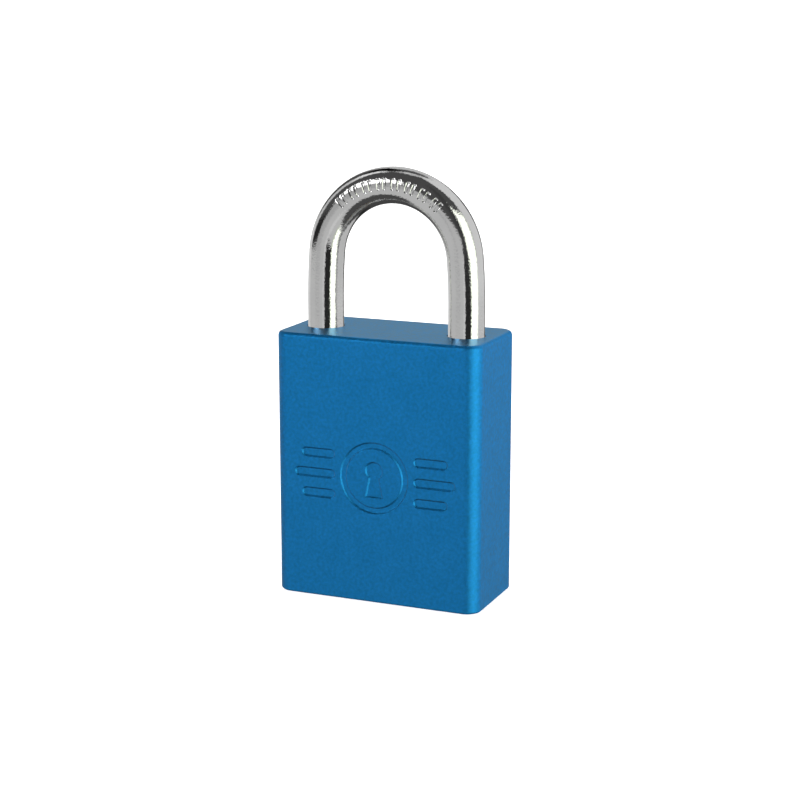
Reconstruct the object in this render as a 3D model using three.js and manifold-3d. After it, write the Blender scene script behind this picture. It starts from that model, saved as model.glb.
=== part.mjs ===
// Safety padlock: solid anodised aluminium body, chrome-plated shackle held by two
// steel balls, and a six-pin key cylinder whose plug turns a cam-shaped actuator.
// Millimetres, +Z up, origin at the centre of the body's bottom face, front towards -Y.
// The heel leg of the shackle is at -X and the toe leg at +X.

import * as THREE from "three";
import { mergeVertices } from "three/addons/utils/BufferGeometryUtils.js";
import Module from "manifold-3d";

const wasm = await Module();
wasm.setup();

// ---------------------------------------------------------------- driving dimensions

const BODY_WIDTH = 38.1;
const BODY_DEPTH = 19.05;
const BODY_HEIGHT = 47.0;
const BODY_CORNER_RADIUS = 2.5;
const BODY_EDGE_RADIUS = 0.8;

const SHACKLE_DIAMETER = 6.35;
const LEG_SPACING = 26.6;
const SHACKLE_CLEARANCE = 22.1;
const CROWN_RADIUS = 13.0; // centreline radius of the top of the bow
const LEG_STRAIGHT = 4.6; // straight leg above the body
const LEG_BORE_RADIUS = 3.45;
const LEG_END_CHAMFER = 0.5;

const LIFT = 11.0; // travel of the shackle when it opens
const BALL_LEVEL = 41.6;
const BALL_RADIUS = 3.175;
const BALL_CENTRE = 7.75; // from the plug's axis to either ball, locked
const TOE_BALL_TRAVEL = 2.8;
const HEEL_BALL_TRAVEL = 0.4;
const BALL_PASSAGE_RADIUS = 3.4;
const BALL_GAP = 0.2;

const TOE_LEG_END = 36.4;
const TOE_BORE_FLOOR = 33.6;
const HEEL_BORE_FLOOR = 10.5;
const HEEL_NECK_RADIUS = 2.2;
const HEEL_NECK_MARGIN = 2.6; // neck beyond the ball's level at each end of the lift
const HEEL_FLANGE = 3.4; // full-diameter end below the neck

const PLUG_RADIUS = 6.35;
const PLUG_RECESS = 0.5; // plug and shell faces above the body's bottom face
const PLUG_END = 31.2;
const PLUG_RUNNING_GAP = 0.15;
const SHELL_RADIUS = 7.6;
const SHELL_END = 29.4;
const BIBLE_HALF_WIDTH = 3.3;
const BIBLE_REACH = 15.6;
const SHELL_GAP = 0.25; // between the shell and its pocket in the body

const PIN_COUNT = 6;
const FIRST_PIN = 4.6;
const PIN_PITCH = 3.96;
const PIN_RADIUS = 1.4;
const CHAMBER_RADIUS = 1.6;
const KEY_CUTS = [2, 5, 3, 6, 1, 4];
const SHORTEST_PIN = 4.4;
const CUT_STEP = 0.45;
const BOTTOM_PIN_TOP = 6.15;
const PIN_TIP_LENGTH = 0.9;
const CHAMBER_FLOOR = -2.3;
const DRIVER_START = 6.56;
const DRIVER_LENGTH = 4.0;
const COVER_BOTTOM = 14.75;
const COVER_TOP = 15.35;
const COVER_HALF_WIDTH = 2.3;

const CLIP_OUTER_RADIUS = 7.0;
const CLIP_INNER_RADIUS = 5.55;
const CLIP_THICKNESS = 0.7;
const CLIP_GROOVE_RADIUS = 5.4;
const CLIP_BOTTOM = 29.65;

const TAIL_LENGTH = 2.4;
const TAIL_HALF_THICKNESS = 1.5;
const TAIL_HALF_WIDTH = 4.0;

const ACTUATOR_BOTTOM = 31.6;
const ACTUATOR_HUB_TOP = 36.2;
const ACTUATOR_TOP = 44.1;
const ACTUATOR_HUB_RADIUS = 5.6;
const CAM_BLANK_RADIUS = 5.6;
const CAM_GAP = 0.2;
const ACTUATOR_CHAMBER_RADIUS = 6.2;
const ACTUATOR_CHAMBER_TOP = 44.6;

const SCREW_HEAD_RADIUS = 2.7;
const SCREW_HEAD_HEIGHT = 1.7;
const SCREW_SHANK_RADIUS = 1.25;
const SCREW_END = 27.1;
const SCREW_HOLE_RADIUS = 1.55;

const SHACKLE_SPRING_RADIUS = 2.5;
const SHACKLE_SPRING_WIRE = 0.35;
const SHACKLE_SPRING_TURNS = 8;
const PIN_SPRING_RADIUS = 1.05;
const PIN_SPRING_WIRE = 0.17;
const PIN_SPRING_TURNS = 5;

const ROUND_SEGMENTS = 48;
const SMALL_SEGMENTS = 24;
const BOW_STEPS = 44;
const CUT_THROUGH = 1; // how far a cutter runs past the face it opens
const WELD = 0.05; // overlap of two solids that are joined end to end

// ---------------------------------------------------------------- materials

function material(color, roughness, metalness) {
  return new THREE.MeshStandardMaterial({ color, roughness, metalness });
}

const anodised = () => material(0x1b6fb0, 0.42, 0.55);
const chrome = () => material(0xd9dbde, 0.12, 1.0);
const ballSteel = () => material(0xb9bcc0, 0.2, 1.0);
const zincSteel = () => material(0x9da1a6, 0.4, 1.0);
const brass = () => material(0xb89a55, 0.35, 1.0);
const nickelSilver = () => material(0xb4ad97, 0.3, 1.0);
const springSteel = () => material(0x77797c, 0.35, 1.0);

// ---------------------------------------------------------------- solids and booleans

// Merges shared vertices and leaves out the triangles that close up at a pole.
function toSolid(geometry) {
  const bare = geometry.clone();
  bare.deleteAttribute("normal");
  bare.deleteAttribute("uv");
  const merged = mergeVertices(bare, 1e-5);
  const corners = merged.index.array;
  const triangles = [];
  for (let i = 0; i < corners.length; i += 3) {
    const [a, b, c] = [corners[i], corners[i + 1], corners[i + 2]];
    if (a !== b && b !== c && c !== a) {
      triangles.push(a, b, c);
    }
  }
  return new wasm.Manifold(new wasm.Mesh({
    numProp: 3,
    vertProperties: new Float32Array(merged.attributes.position.array),
    triVerts: new Uint32Array(triangles),
  }));
}

function toGeometry(solid) {
  const mesh = solid.getMesh();
  const geometry = new THREE.BufferGeometry();
  geometry.setAttribute("position", new THREE.BufferAttribute(mesh.vertProperties, 3));
  geometry.setIndex(new THREE.BufferAttribute(mesh.triVerts, 1));
  return geometry;
}

// Cylinder along +Z from z0 to z1, centred on (x, y).
function post(radius, z0, z1, x = 0, y = 0, segments = ROUND_SEGMENTS) {
  const geometry = new THREE.CylinderGeometry(radius, radius, z1 - z0, segments);
  geometry.rotateX(Math.PI / 2).translate(x, y, (z0 + z1) / 2);
  return toSolid(geometry);
}

// Cylinder along +X from x0 to x1, at the height z.
function rodAlongX(radius, x0, x1, z, segments = SMALL_SEGMENTS) {
  const geometry = new THREE.CylinderGeometry(radius, radius, x1 - x0, segments);
  geometry.rotateZ(Math.PI / 2).translate((x0 + x1) / 2, 0, z);
  return toSolid(geometry);
}

function box(x0, x1, y0, y1, z0, z1) {
  const geometry = new THREE.BoxGeometry(x1 - x0, y1 - y0, z1 - z0);
  geometry.translate((x0 + x1) / 2, (y0 + y1) / 2, (z0 + z1) / 2);
  return toSolid(geometry);
}

// Prism of a closed outline in X and Y, from z0 to z1.
function prism(shape, z0, z1, curveSegments = 12) {
  const geometry = new THREE.ExtrudeGeometry(shape, {
    depth: z1 - z0,
    bevelEnabled: false,
    curveSegments,
  });
  geometry.translate(0, 0, z0);
  return toSolid(geometry);
}

// Solid of revolution about Z from [radius, z] pairs that start and end on the axis.
function turned(profile, x = 0, segments = ROUND_SEGMENTS) {
  const points = profile.map(([radius, z]) => new THREE.Vector2(radius, z));
  const geometry = new THREE.LatheGeometry(points, segments);
  geometry.rotateX(Math.PI / 2).translate(x, 0, 0);
  return toSolid(geometry);
}

// Solid of revolution about X from [radius, x] pairs, at the height z.
function turnedAlongX(profile, z, segments = SMALL_SEGMENTS) {
  const points = profile.map(([radius, x]) => new THREE.Vector2(radius, x));
  const geometry = new THREE.LatheGeometry(points, segments);
  geometry.rotateZ(-Math.PI / 2).translate(0, 0, z);
  return toSolid(geometry);
}

// Ball swept along a straight line between two centres.
function sweptBall(from, to, radius) {
  const way = new THREE.Vector3().subVectors(to, from);
  const middle = new THREE.Vector3().addVectors(from, to).multiplyScalar(0.5);
  const geometry = new THREE.CapsuleGeometry(radius, way.length(), 10, SMALL_SEGMENTS);
  const turn = new THREE.Quaternion();
  turn.setFromUnitVectors(new THREE.Vector3(0, 1, 0), way.normalize());
  geometry.applyQuaternion(turn).translate(middle.x, middle.y, middle.z);
  return toSolid(geometry);
}

function roundedRectangle(width, depth, radius) {
  const x = width / 2 - radius;
  const y = depth / 2 - radius;
  const shape = new THREE.Shape();
  shape.absarc(x, y, radius, 0, Math.PI / 2);
  shape.absarc(-x, y, radius, Math.PI / 2, Math.PI);
  shape.absarc(-x, -y, radius, Math.PI, 1.5 * Math.PI);
  shape.absarc(x, -y, radius, 1.5 * Math.PI, 2 * Math.PI);
  return shape;
}

function circleShape(radius) {
  const shape = new THREE.Shape();
  shape.absarc(0, 0, radius, 0, 2 * Math.PI);
  return shape;
}

class Helix extends THREE.Curve {
  constructor(radius, length, turns) {
    super();
    this.radius = radius;
    this.length = length;
    this.turns = turns;
  }

  getPoint(t, target = new THREE.Vector3()) {
    const angle = 2 * Math.PI * this.turns * t;
    const x = this.radius * Math.cos(angle);
    const y = this.radius * Math.sin(angle);
    return target.set(x, y, this.length * t);
  }
}

// Coil spring along +Z whose ends stay inside 0 to length. sides is an even number.
function coil(radius, wire, length, turns, stepsPerTurn, sides) {
  const path = new Helix(radius, length - 2 * wire, turns);
  const geometry = new THREE.ExtrudeGeometry(circleShape(wire), {
    steps: turns * stepsPerTurn,
    curveSegments: sides / 2,
    bevelEnabled: false,
    extrudePath: path,
  });
  return geometry.translate(0, 0, wire);
}

// ---------------------------------------------------------------- body

// Pocket for the cylinder: a round bore with a slot for the bible.
function pearShape(radius, halfWidth, reach) {
  const start = Math.asin(halfWidth / radius);
  const tipRadius = halfWidth * 0.35;
  const shape = new THREE.Shape();
  shape.absarc(0, 0, radius, start, 2 * Math.PI - start);
  shape.absarc(reach - tipRadius, tipRadius - halfWidth, tipRadius, 1.5 * Math.PI, 2 * Math.PI);
  shape.absarc(reach - tipRadius, halfWidth - tipRadius, tipRadius, 0, Math.PI / 2);
  shape.closePath();
  return shape;
}

function bodySolid() {
  const inset = roundedRectangle(BODY_WIDTH, BODY_DEPTH, BODY_CORNER_RADIUS);
  const block = new THREE.ExtrudeGeometry(inset, {
    depth: BODY_HEIGHT - 2 * BODY_EDGE_RADIUS,
    curveSegments: 8,
    bevelThickness: BODY_EDGE_RADIUS,
    bevelSize: BODY_EDGE_RADIUS,
    bevelOffset: -BODY_EDGE_RADIUS,
    bevelSegments: 3,
  });
  block.translate(0, 0, BODY_EDGE_RADIUS);

  const above = BODY_HEIGHT + CUT_THROUGH;
  const leg = LEG_SPACING / 2;
  const pocket = pearShape(
    SHELL_RADIUS + SHELL_GAP,
    BIBLE_HALF_WIDTH + SHELL_GAP,
    BIBLE_REACH + SHELL_GAP,
  );
  const plugPocketTop = PLUG_END + SHELL_GAP;
  const cutters = [
    post(LEG_BORE_RADIUS, HEEL_BORE_FLOOR, above, -leg),
    post(LEG_BORE_RADIUS, TOE_BORE_FLOOR, above, leg),
    post(SCREW_HOLE_RADIUS, SHELL_END - CUT_THROUGH, above, leg, 0, SMALL_SEGMENTS),
    rodAlongX(BALL_PASSAGE_RADIUS, -leg, leg, BALL_LEVEL, ROUND_SEGMENTS),
    prism(pocket, -CUT_THROUGH, SHELL_END + SHELL_GAP, 24),
    post(SHELL_RADIUS + SHELL_GAP, 0, plugPocketTop),
    post(ACTUATOR_CHAMBER_RADIUS, 0, ACTUATOR_CHAMBER_TOP),
  ];
  return cutters.reduce((solid, cutter) => solid.subtract(cutter), toSolid(block));
}

// ---------------------------------------------------------------- shackle

// Centreline of the bow in the XZ plane: straight stubs, two slow side arcs and a crown.
function bowPath() {
  const leg = LEG_SPACING / 2;
  const apex = BODY_HEIGHT + SHACKLE_CLEARANCE + SHACKLE_DIAMETER / 2;
  const arcStart = BODY_HEIGHT + LEG_STRAIGHT;
  const crownCentre = apex - CROWN_RADIUS;
  const rise = crownCentre - arcStart;
  const lean = 2 * Math.atan2(leg - CROWN_RADIUS, rise);
  const sideRadius = CROWN_RADIUS + rise / Math.sin(lean);
  const sideLength = sideRadius * lean;
  const crownLength = CROWN_RADIUS * (Math.PI - 2 * lean);
  const total = 2 * sideLength + crownLength;

  // Right half of the bow, by the distance s up from the end of the straight leg.
  function rightPoint(s) {
    if (s <= sideLength) {
      const angle = s / sideRadius;
      return [leg - sideRadius * (1 - Math.cos(angle)), arcStart + sideRadius * Math.sin(angle)];
    }
    const angle = lean + (s - sideLength) / CROWN_RADIUS;
    return [CROWN_RADIUS * Math.cos(angle), crownCentre + CROWN_RADIUS * Math.sin(angle)];
  }

  class Bow extends THREE.Curve {
    getPoint(t, target = new THREE.Vector3()) {
      const s = t * total;
      const [x, z] = rightPoint(Math.min(s, total - s));
      return target.set(s <= total / 2 ? x : -x, 0, z);
    }
  }
  return new Bow();
}

function shackleSolid() {
  const radius = SHACKLE_DIAMETER / 2;
  const leg = LEG_SPACING / 2;
  const legTop = BODY_HEIGHT + LEG_STRAIGHT;
  const bow = new THREE.ExtrudeGeometry(circleShape(radius), {
    steps: BOW_STEPS,
    curveSegments: SMALL_SEGMENTS / 2,
    bevelEnabled: false,
    extrudePath: bowPath(),
  });

  const toeLeg = turned([
    [0, TOE_LEG_END],
    [radius - LEG_END_CHAMFER, TOE_LEG_END],
    [radius, TOE_LEG_END + LEG_END_CHAMFER],
    [radius, legTop + WELD],
    [0, legTop + WELD],
  ], leg, SMALL_SEGMENTS);

  const neckTop = BALL_LEVEL + HEEL_NECK_MARGIN;
  const neckBottom = BALL_LEVEL - LIFT - HEEL_NECK_MARGIN;
  const heelEnd = neckBottom - HEEL_FLANGE;
  const heelLeg = turned([
    [0, heelEnd],
    [radius - LEG_END_CHAMFER, heelEnd],
    [radius, heelEnd + LEG_END_CHAMFER],
    [radius, neckBottom - LEG_END_CHAMFER],
    [HEEL_NECK_RADIUS, neckBottom],
    [HEEL_NECK_RADIUS, neckTop],
    [radius, neckTop + LEG_END_CHAMFER],
    [radius, legTop + WELD],
    [0, legTop + WELD],
  ], -leg, SMALL_SEGMENTS);

  // The notch is the path of the toe ball as the shackle sees it while it opens.
  const notch = sweptBall(
    new THREE.Vector3(BALL_CENTRE, 0, BALL_LEVEL),
    new THREE.Vector3(BALL_CENTRE - TOE_BALL_TRAVEL, 0, BALL_LEVEL - LIFT),
    BALL_RADIUS + BALL_GAP,
  );
  return toSolid(bow).add(toeLeg).add(heelLeg).subtract(notch);
}

// ---------------------------------------------------------------- locking balls and actuator

function ballSolid(x) {
  const geometry = new THREE.SphereGeometry(BALL_RADIUS, SMALL_SEGMENTS, 16);
  return toSolid(geometry.translate(x, 0, BALL_LEVEL));
}

// Radius of the cam in the direction of a ray, so that it clears a ball which starts at
// BALL_CENTRE in the direction ballAngle and moves in by travel over a quarter turn.
function camRadius(rayAngle, ballAngle, travel) {
  const steps = 60;
  const reach = BALL_RADIUS + CAM_GAP;
  let radius = CAM_BLANK_RADIUS;
  for (let i = 0; i <= steps; i += 1) {
    const turn = (i / steps) * (Math.PI / 2);
    const centre = BALL_CENTRE - travel * (i / steps);
    const off = rayAngle - (ballAngle - turn);
    const side = centre * Math.sin(off);
    if (Math.cos(off) > 0 && Math.abs(side) < reach) {
      const contact = centre * Math.cos(off) - Math.sqrt(reach * reach - side * side);
      radius = Math.min(radius, contact);
    }
  }
  return radius;
}

function actuatorSolid() {
  const outline = [];
  const points = 96;
  for (let i = 0; i < points; i += 1) {
    const angle = (2 * Math.PI * i) / points;
    const radius = Math.min(
      camRadius(angle, 0, TOE_BALL_TRAVEL),
      camRadius(angle, Math.PI, HEEL_BALL_TRAVEL),
    );
    outline.push(new THREE.Vector2(radius * Math.cos(angle), radius * Math.sin(angle)));
  }
  const slotHalfWidth = TAIL_HALF_WIDTH + SHELL_GAP;
  const slotHalfThickness = TAIL_HALF_THICKNESS + SHELL_GAP;
  const slotTop = PLUG_END + TAIL_LENGTH + SHELL_GAP;
  const hub = post(ACTUATOR_HUB_RADIUS, ACTUATOR_BOTTOM, ACTUATOR_HUB_TOP);
  const cam = prism(new THREE.Shape(outline), ACTUATOR_HUB_TOP - CUT_THROUGH, ACTUATOR_TOP);
  const slot = box(
    -slotHalfWidth, slotHalfWidth,
    -slotHalfThickness, slotHalfThickness,
    ACTUATOR_BOTTOM - CUT_THROUGH, slotTop,
  );
  return hub.add(cam).subtract(slot);
}

// ---------------------------------------------------------------- key cylinder

function pinHeight(index) {
  return FIRST_PIN + index * PIN_PITCH;
}

function shellSolid() {
  const outline = pearShape(SHELL_RADIUS, BIBLE_HALF_WIDTH, BIBLE_REACH);
  const coverSlot = box(
    COVER_BOTTOM - SHELL_GAP, BIBLE_REACH + CUT_THROUGH,
    -COVER_HALF_WIDTH - SHELL_GAP, COVER_HALF_WIDTH + SHELL_GAP,
    PLUG_RECESS + CUT_THROUGH, SHELL_END + CUT_THROUGH,
  );
  const screwHole = post(
    SCREW_HOLE_RADIUS, SCREW_END - SHELL_GAP, SHELL_END + CUT_THROUGH,
    LEG_SPACING / 2, 0, SMALL_SEGMENTS,
  );
  let solid = prism(outline, PLUG_RECESS, SHELL_END, 24)
    .subtract(post(PLUG_RADIUS + PLUG_RUNNING_GAP, 0, SHELL_END + CUT_THROUGH))
    .subtract(coverSlot)
    .subtract(screwHole);
  for (let i = 0; i < PIN_COUNT; i += 1) {
    const start = PLUG_RADIUS - CUT_THROUGH;
    solid = solid.subtract(rodAlongX(CHAMBER_RADIUS, start, BIBLE_REACH, pinHeight(i)));
  }
  return solid;
}

// Keyway section: an open slot along X with one ward on each side.
function keywayShape() {
  const outline = [
    [-7.4, -1.1], [-3.6, -1.1], [-3.2, -0.4], [-2.2, -0.4], [-1.8, -1.1], [2.2, -1.1],
    [2.2, 0.7], [0.9, 0.7], [0.5, 0.1], [-0.5, 0.1], [-0.9, 0.9], [-7.4, 0.9],
  ];
  return new THREE.Shape(outline.map(([x, y]) => new THREE.Vector2(x, y)));
}

function plugSolid() {
  const mouth = 0.4; // bevel at the front edge of the plug
  const grooveTop = CLIP_BOTTOM + CLIP_THICKNESS + 0.15;
  const grooveBottom = CLIP_BOTTOM - 0.15;
  const barrel = turned([
    [0, PLUG_RECESS],
    [PLUG_RADIUS - mouth, PLUG_RECESS],
    [PLUG_RADIUS, PLUG_RECESS + mouth],
    [PLUG_RADIUS, grooveBottom],
    [CLIP_GROOVE_RADIUS, grooveBottom],
    [CLIP_GROOVE_RADIUS, grooveTop],
    [PLUG_RADIUS, grooveTop],
    [PLUG_RADIUS, PLUG_END],
    [0, PLUG_END],
  ]);
  const tail = box(
    -TAIL_HALF_WIDTH, TAIL_HALF_WIDTH,
    -TAIL_HALF_THICKNESS, TAIL_HALF_THICKNESS,
    PLUG_END - CUT_THROUGH, PLUG_END + TAIL_LENGTH,
  );
  const keywayTop = CLIP_BOTTOM - 1.6;
  let solid = barrel.add(tail).subtract(prism(keywayShape(), 0, keywayTop));
  for (let i = 0; i < PIN_COUNT; i += 1) {
    const end = PLUG_RADIUS + CUT_THROUGH;
    solid = solid.subtract(rodAlongX(CHAMBER_RADIUS, CHAMBER_FLOOR, end, pinHeight(i)));
  }
  return solid;
}

function clipSolid() {
  const openAngle = 0.75; // half of the clip's gap, in radians
  const shape = new THREE.Shape();
  shape.absarc(0, 0, CLIP_OUTER_RADIUS, Math.PI + openAngle, 3 * Math.PI - openAngle);
  shape.absarc(0, 0, CLIP_INNER_RADIUS, Math.PI - openAngle, openAngle - Math.PI, true);
  shape.closePath();
  return prism(shape, CLIP_BOTTOM, CLIP_BOTTOM + CLIP_THICKNESS, 40);
}

function bottomPinSolid(index) {
  const length = SHORTEST_PIN + KEY_CUTS[index] * CUT_STEP;
  const tip = BOTTOM_PIN_TOP - length;
  return turnedAlongX([
    [0, tip],
    [0.35, tip],
    [PIN_RADIUS, tip + PIN_TIP_LENGTH],
    [PIN_RADIUS, BOTTOM_PIN_TOP - 0.15],
    [PIN_RADIUS - 0.15, BOTTOM_PIN_TOP],
    [0, BOTTOM_PIN_TOP],
  ], pinHeight(index));
}

// The driver is a spool: its waist catches on the shell when the lock is picked.
function driverPinSolid(index) {
  const end = DRIVER_START + DRIVER_LENGTH;
  const waist = PIN_RADIUS - 0.3;
  return turnedAlongX([
    [0, DRIVER_START],
    [PIN_RADIUS, DRIVER_START],
    [PIN_RADIUS, DRIVER_START + 0.8],
    [waist, DRIVER_START + 0.95],
    [waist, end - 1.15],
    [PIN_RADIUS, end - 1.0],
    [PIN_RADIUS, end],
    [0, end],
  ], pinHeight(index));
}

function pinSpringSolid(index) {
  const start = DRIVER_START + DRIVER_LENGTH + 0.1;
  const length = COVER_BOTTOM - 0.1 - start;
  const geometry = coil(PIN_SPRING_RADIUS, PIN_SPRING_WIRE, length, PIN_SPRING_TURNS, 10, 4);
  geometry.rotateY(Math.PI / 2).translate(start, 0, pinHeight(index));
  return toSolid(geometry);
}

function coverSolid() {
  const start = PLUG_RECESS + CUT_THROUGH + SHELL_GAP;
  const end = pinHeight(PIN_COUNT - 1) + CHAMBER_RADIUS + 0.6;
  return box(COVER_BOTTOM, COVER_TOP, -COVER_HALF_WIDTH, COVER_HALF_WIDTH, start, end);
}

// ---------------------------------------------------------------- screw and shackle spring

function screwSolid() {
  const headBottom = TOE_BORE_FLOOR + 0.2;
  const headTop = headBottom + SCREW_HEAD_HEIGHT;
  const screw = turned([
    [0, SCREW_END],
    [SCREW_SHANK_RADIUS - 0.3, SCREW_END],
    [SCREW_SHANK_RADIUS, SCREW_END + 0.3],
    [SCREW_SHANK_RADIUS, headBottom],
    [SCREW_HEAD_RADIUS, headBottom],
    [SCREW_HEAD_RADIUS, headTop - 0.3],
    [SCREW_HEAD_RADIUS - 0.3, headTop],
    [0, headTop],
  ], LEG_SPACING / 2, SMALL_SEGMENTS);
  const driveRadius = 1.25;
  const drive = post(driveRadius, headTop - 1.0, headTop + 1, LEG_SPACING / 2, 0, 6);
  return screw.subtract(drive);
}

function shackleSpringSolid() {
  const heelEnd = BALL_LEVEL - LIFT - HEEL_NECK_MARGIN - HEEL_FLANGE;
  const start = HEEL_BORE_FLOOR + 0.2;
  const length = heelEnd - 0.2 - start;
  const geometry = coil(
    SHACKLE_SPRING_RADIUS, SHACKLE_SPRING_WIRE, length, SHACKLE_SPRING_TURNS, 14, 6,
  );
  geometry.translate(-LEG_SPACING / 2, 0, start);
  return toSolid(geometry);
}

// ---------------------------------------------------------------- assembly

const padlock = new THREE.Group();
padlock.name = "safety_padlock";

function addPiece(name, solid, meshMaterial) {
  const mesh = new THREE.Mesh(toGeometry(solid), meshMaterial);
  mesh.name = name;
  padlock.add(mesh);
}

addPiece("body", bodySolid(), anodised());
addPiece("shackle", shackleSolid(), chrome());
addPiece("shackle_spring", shackleSpringSolid(), springSteel());
addPiece("toe_ball", ballSolid(BALL_CENTRE), ballSteel());
addPiece("heel_ball", ballSolid(-BALL_CENTRE), ballSteel());
addPiece("actuator", actuatorSolid(), zincSteel());
addPiece("retaining_screw", screwSolid(), zincSteel());
addPiece("cylinder_shell", shellSolid(), brass());
addPiece("plug", plugSolid(), brass());
addPiece("plug_clip", clipSolid(), springSteel());
addPiece("spring_cover", coverSolid(), brass());

for (let i = 0; i < PIN_COUNT; i += 1) {
  addPiece(`bottom_pin_${i + 1}`, bottomPinSolid(i), nickelSilver());
  addPiece(`driver_pin_${i + 1}`, driverPinSolid(i), brass());
  addPiece(`pin_spring_${i + 1}`, pinSpringSolid(i), springSteel());
}

export default padlock;
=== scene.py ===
import math

import bpy
import numpy as np
from mathutils import Matrix, Vector


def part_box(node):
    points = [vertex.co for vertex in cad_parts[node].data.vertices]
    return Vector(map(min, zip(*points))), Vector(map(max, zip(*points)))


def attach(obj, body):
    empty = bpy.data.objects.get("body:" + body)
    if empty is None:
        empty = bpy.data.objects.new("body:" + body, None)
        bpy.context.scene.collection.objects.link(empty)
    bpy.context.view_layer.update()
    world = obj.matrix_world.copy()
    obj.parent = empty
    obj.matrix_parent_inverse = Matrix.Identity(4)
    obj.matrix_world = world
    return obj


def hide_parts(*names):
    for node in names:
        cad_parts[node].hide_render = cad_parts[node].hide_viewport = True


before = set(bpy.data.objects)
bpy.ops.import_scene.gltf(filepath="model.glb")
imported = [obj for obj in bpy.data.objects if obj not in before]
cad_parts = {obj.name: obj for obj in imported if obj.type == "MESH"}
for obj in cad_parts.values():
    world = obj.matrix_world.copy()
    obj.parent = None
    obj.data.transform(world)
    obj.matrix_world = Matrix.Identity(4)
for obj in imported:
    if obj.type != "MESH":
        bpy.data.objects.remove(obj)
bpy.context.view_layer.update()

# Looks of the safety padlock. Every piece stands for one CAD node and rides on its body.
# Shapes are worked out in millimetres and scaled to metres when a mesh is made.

MM = 0.001
scene = bpy.context.scene

# ------------------------------------------------------------------ sizes, in millimetres


def size_of(node):
    """Lowest and highest corner of a CAD node, in millimetres."""
    low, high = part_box(node)
    return np.array(low) / MM, np.array(high) / MM


HALF_WIDTH, HALF_DEPTH, BODY_TOP = size_of("body")[1]
CORNER_RADIUS = 2.5
CORNER_EVENNESS = 0.7  # bend in the middle of the upright corners, as a share of a circle's
EDGE_RADIUS = 0.8  # edge round the top
FOOT_RADIUS = 0.4  # edge round the bottom
FLAT_RING = 0.4  # flat ring inside those edges, which keeps their shading clean

shackle_low, shackle_high = size_of("shackle")
ROD_RADIUS = shackle_high[1]
LEG_X = shackle_high[0] - ROD_RADIUS
CROWN_RADIUS = 13.0
LEG_STRAIGHT = 4.6  # straight part of the legs above the case
LEG_CHAMFER = 0.5
BORE_RADIUS = 3.45
BORE_MOUTH = 3.3
HEEL_BORE_FLOOR = 10.5
TOE_BORE_FLOOR = 33.6
TOE_END = 36.4
HEEL_END = shackle_low[2]
LIFT = 11.0

BALL_LEVEL = 41.6
BALL_RADIUS = 3.175
BALL_CENTRE = 7.75
TOE_TRAVEL = 2.8
HEEL_TRAVEL = 0.4
PASSAGE_RADIUS = 3.4  # cross bore that the balls move in
CAM_BORE_RADIUS = 6.2
CAM_BORE_TOP = 44.6
CAM_HUB_TOP = 36.2
CAM_RADIUS = 5.6
CLEARANCE = 0.2  # between a ball and the surfaces cut round it
NECK_RADIUS = 2.2
NECK_MARGIN = 2.6

PIN_COUNT = 6
FIRST_PIN = 4.6
PIN_PITCH = 3.96
CHAMBER_RADIUS = 1.6
PLUG_RADIUS = 6.35
PLUG_TOP = 31.2
PLUG_BORE_GAP = 0.15
SHELL_RADIUS = 7.6
BIBLE_HALF = 3.3
BIBLE_REACH = 15.6
POCKET_GAP = 0.25
SCREW_HOLE_RADIUS = 1.55
SCREW_HOLE_TOP = 34.0

# ------------------------------------------------------------------ mesh helpers


def new_object(name, verts, faces):
    mesh = bpy.data.meshes.new(name)
    mesh.from_pydata((np.asarray(verts, float) * MM).tolist(), [], faces)
    mesh.update()
    obj = bpy.data.objects.new(name, mesh)
    scene.collection.objects.link(obj)
    return obj


def loft(name, rings, open_top=False):
    """Closed skin over rings of equal length, anticlockwise seen from the last ring's side."""
    count = len(rings[0])
    faces = []
    for k in range(len(rings) - 1):
        base = k * count
        for i in range(count):
            j = (i + 1) % count
            faces.append((base + i, base + j, base + count + j, base + count + i))
    last = (len(rings) - 1) * count
    if open_top:
        faces = [face[::-1] for face in faces] + [tuple(range(count))]
    else:
        faces += [tuple(reversed(range(count))), tuple(range(last, last + count))]
    return new_object(name, np.concatenate(rings), faces)


def rounded(points, radius, steps=4, closed=False):
    """Polyline with its corners turned into arcs."""
    almost_straight = 0.02  # radians
    most_of_edge = 0.48  # share of an edge that one corner's arc may use
    points = [np.array(p, float) for p in points]
    count = len(points)
    out = []
    for i, point in enumerate(points):
        end = not closed and i in (0, count - 1)
        if end or radius <= 0:
            out.append(point)
            continue
        before = points[i - 1] - point
        after = points[(i + 1) % count] - point
        before_length = np.linalg.norm(before)
        after_length = np.linalg.norm(after)
        before /= before_length
        after /= after_length
        angle = math.acos(np.clip(before @ after, -1, 1))
        if angle > math.pi - almost_straight:
            out.append(point)
            continue
        reach = radius / math.tan(angle / 2)
        reach = min(reach, most_of_edge * before_length, most_of_edge * after_length)
        arc_radius = reach * math.tan(angle / 2)
        towards = (before + after) / np.linalg.norm(before + after)
        centre = point + towards * arc_radius / math.sin(angle / 2)
        start = point + before * reach - centre
        turn = 1 if before[0] * after[1] - before[1] * after[0] < 0 else -1
        for k in range(steps + 1):
            a = turn * (math.pi - angle) * k / steps
            spin = np.array([[math.cos(a), -math.sin(a)], [math.sin(a), math.cos(a)]])
            out.append(centre + spin @ start)
    return out


def circle(radius, segments):
    angles = np.arange(segments) * 2 * math.pi / segments
    return np.stack([radius * np.cos(angles), radius * np.sin(angles)], 1)


def at_height(outline, z):
    outline = np.asarray(outline, float)
    return np.column_stack([outline, np.full(len(outline), z)])


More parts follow.
